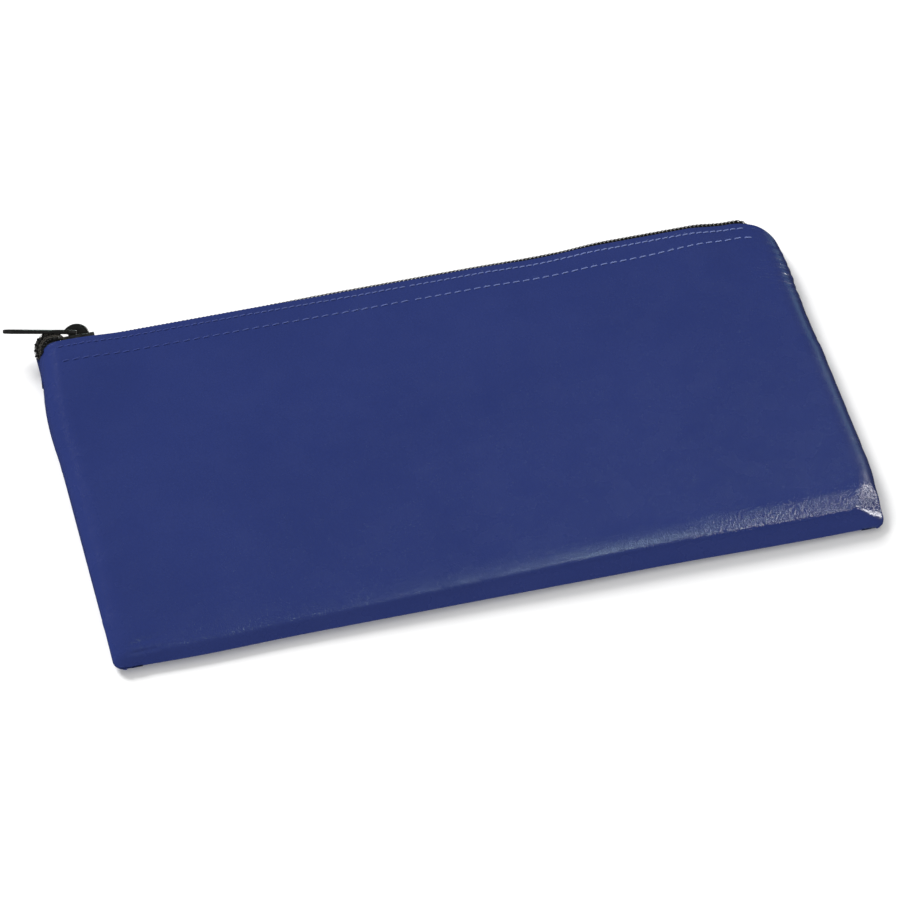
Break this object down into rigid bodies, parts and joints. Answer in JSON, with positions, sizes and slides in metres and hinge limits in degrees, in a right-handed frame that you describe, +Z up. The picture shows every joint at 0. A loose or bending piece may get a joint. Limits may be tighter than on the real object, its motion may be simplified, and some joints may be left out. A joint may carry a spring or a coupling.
{
  "type": "cash deposit bag",
  "caption": "Flat zippered bag of leather-like vinyl for cash and deposit slips, with a coil zipper along one long edge and a lying pull tab.",
  "frame": {"origin": "middle of the back panel's flat underside, on the table", "axes": "+X along the zipper from its closed end to its open end, +Y from the bottom fold to the mouth, +Z up out of the table"},
  "size_m": [0.2881, 0.1601, 0.0145],
  "materials": {
    "vinyl": "satin grained leatherette",
    "tape": "woven polyester",
    "coil": "moulded monofilament",
    "cord": "twisted yarn",
    "thread": "twisted polyester",
    "metal": "satin dark coating",
    "spring": "bare spring steel"
  },
  "bodies": {
    "bag": {"back_panel": "vinyl", "back_tape": "tape", "back_coil": "coil", "back_filler_cord": "cord", "front_tape_left_end": "tape", "front_tape_right_end": "tape", "front_coil_left_end": "coil", "front_coil_right_end": "coil", "back_edge_stitch": "thread", "back_hem_stitch": "thread", "left_seam_stitch": "thread", "right_seam_stitch": "thread"},
    "front": {"front_panel": "vinyl", "front_tape": "tape", "front_coil": "coil", "front_filler_cord": "cord", "front_edge_stitch": "thread", "front_hem_stitch": "thread"},
    "slider": {"slider_body": "metal", "slider_cap": "metal"},
    "lock_pawl": {"lock_pawl": "spring"},
    "pull_tab": {"pull_tab": "metal"}
  },
  "joints": [
    {"name": "mouth_open", "type": "hinge", "parent": "bag", "child": "front", "pos_m": [0, -0.0762, 0.004], "axis": [1, 0, 0], "range_deg": [0, 12]},
    {"name": "slider_travel", "type": "slide", "parent": "bag", "child": "slider", "axis": [1, 0, 0], "range_m": [0, 0.2405]},
    {"name": "tab_swing", "type": "hinge", "parent": "slider", "child": "pull_tab", "pos_m": [-0.1226, 0.07795, 0.00903], "axis": [0, 0.6561, -0.7547], "range_deg": [0, 160]},
    {"name": "pawl_lift", "type": "slide", "parent": "slider", "child": "lock_pawl", "axis": [0, 0.7547, 0.6561], "range_m": [0, 0.0003], "stiffness_N_per_m": 200}
  ]
}
